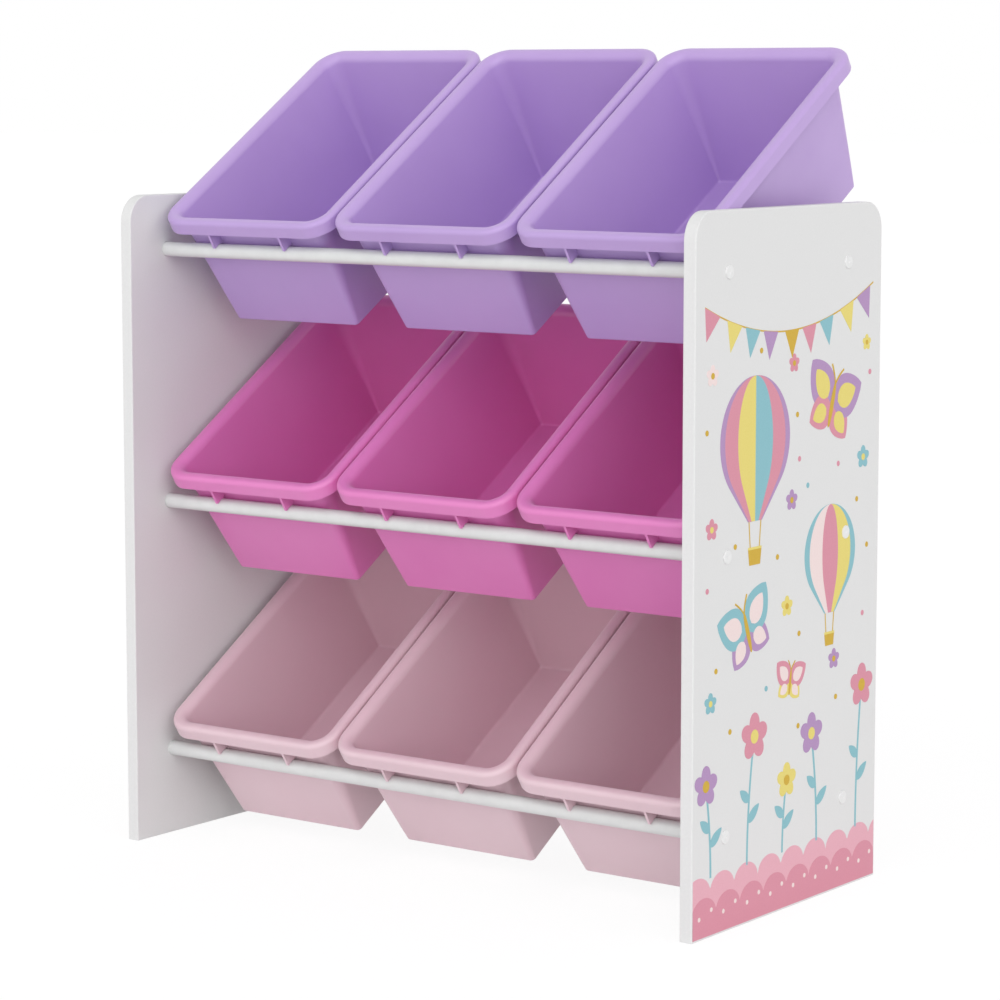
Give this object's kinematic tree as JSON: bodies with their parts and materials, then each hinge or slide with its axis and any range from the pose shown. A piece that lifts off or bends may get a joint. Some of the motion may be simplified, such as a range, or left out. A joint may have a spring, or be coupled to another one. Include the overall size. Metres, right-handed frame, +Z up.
{
  "type": "toy storage organizer",
  "caption": "Free-standing toy organizer: two white board side panels joined by tubes, with rows of open tilted plastic bins hung on the tubes.",
  "frame": {"origin": "on the floor, under the middle of the overall box", "axes": "+X to the right as seen from the front, +Y to the back, +Z up; the bins' mouths tilt to -Y"},
  "size_m": [0.6306, 0.317, 0.7329],
  "materials": {
    "panel_board": "smooth white laminate with a printed outer face",
    "edge_band": "satin white",
    "coated_tube": "satin white powder coat",
    "insert_plastic": "moulded",
    "screw_steel": "zinc plated",
    "cap_plastic": "satin white",
    "lavender_plastic": "satin moulded, fine even grain",
    "magenta_plastic": "satin moulded, fine even grain",
    "pale_pink_plastic": "satin moulded, fine even grain"
  },
  "bodies": {
    "frame": {"left_side_panel": "panel_board", "right_side_panel": "panel_board", "left_edge_band": "edge_band", "right_edge_band": "edge_band", "front_rod_bottom": "coated_tube", "back_rod_bottom": "coated_tube", "front_rod_middle": "coated_tube", "back_rod_middle": "coated_tube", "front_rod_top": "coated_tube", "back_rod_top": "coated_tube", "rod_end_inserts": "insert_plastic", "assembly_screws": "screw_steel", "screw_caps": "cap_plastic"},
    "bin_bottom_left_body": {"bin_bottom_left": "pale_pink_plastic"},
    "bin_bottom_centre_body": {"bin_bottom_centre": "pale_pink_plastic"},
    "bin_bottom_right_body": {"bin_bottom_right": "pale_pink_plastic"},
    "bin_middle_left_body": {"bin_middle_left": "magenta_plastic"},
    "bin_middle_centre_body": {"bin_middle_centre": "magenta_plastic"},
    "bin_middle_right_body": {"bin_middle_right": "magenta_plastic"},
    "bin_top_left_body": {"bin_top_left": "lavender_plastic"},
    "bin_top_centre_body": {"bin_top_centre": "lavender_plastic"},
    "bin_top_right_body": {"bin_top_right": "lavender_plastic"}
  },
  "joints": [
    {"name": "bin_bottom_left_slide_out", "type": "slide", "parent": "frame", "child": "bin_bottom_left_body", "axis": [0, 0.7803, 0.6254], "range_m": [0, 0.37]},
    {"name": "bin_bottom_centre_slide_out", "type": "slide", "parent": "frame", "child": "bin_bottom_centre_body", "axis": [0, 0.7803, 0.6254], "range_m": [0, 0.37]},
    {"name": "bin_bottom_right_slide_out", "type": "slide", "parent": "frame", "child": "bin_bottom_right_body", "axis": [0, 0.7803, 0.6254], "range_m": [0, 0.37]},
    {"name": "bin_middle_left_slide_out", "type": "slide", "parent": "frame", "child": "bin_middle_left_body", "axis": [0, 0.7803, 0.6254], "range_m": [0, 0.37]},
    {"name": "bin_middle_centre_slide_out", "type": "slide", "parent": "frame", "child": "bin_middle_centre_body", "axis": [0, 0.7803, 0.6254], "range_m": [0, 0.37]},
    {"name": "bin_middle_right_slide_out", "type": "slide", "parent": "frame", "child": "bin_middle_right_body", "axis": [0, 0.7803, 0.6254], "range_m": [0, 0.37]},
    {"name": "bin_top_left_lift", "type": "slide", "parent": "frame", "child": "bin_top_left_body", "axis": [0, -0.5404, 0.8414], "range_m": [0, 0.18]},
    {"name": "bin_top_centre_lift", "type": "slide", "parent": "frame", "child": "bin_top_centre_body", "axis": [0, -0.5404, 0.8414], "range_m": [0, 0.18]},
    {"name": "bin_top_right_lift", "type": "slide", "parent": "frame", "child": "bin_top_right_body", "axis": [0, -0.5404, 0.8414], "range_m": [0, 0.18]}
  ]
}
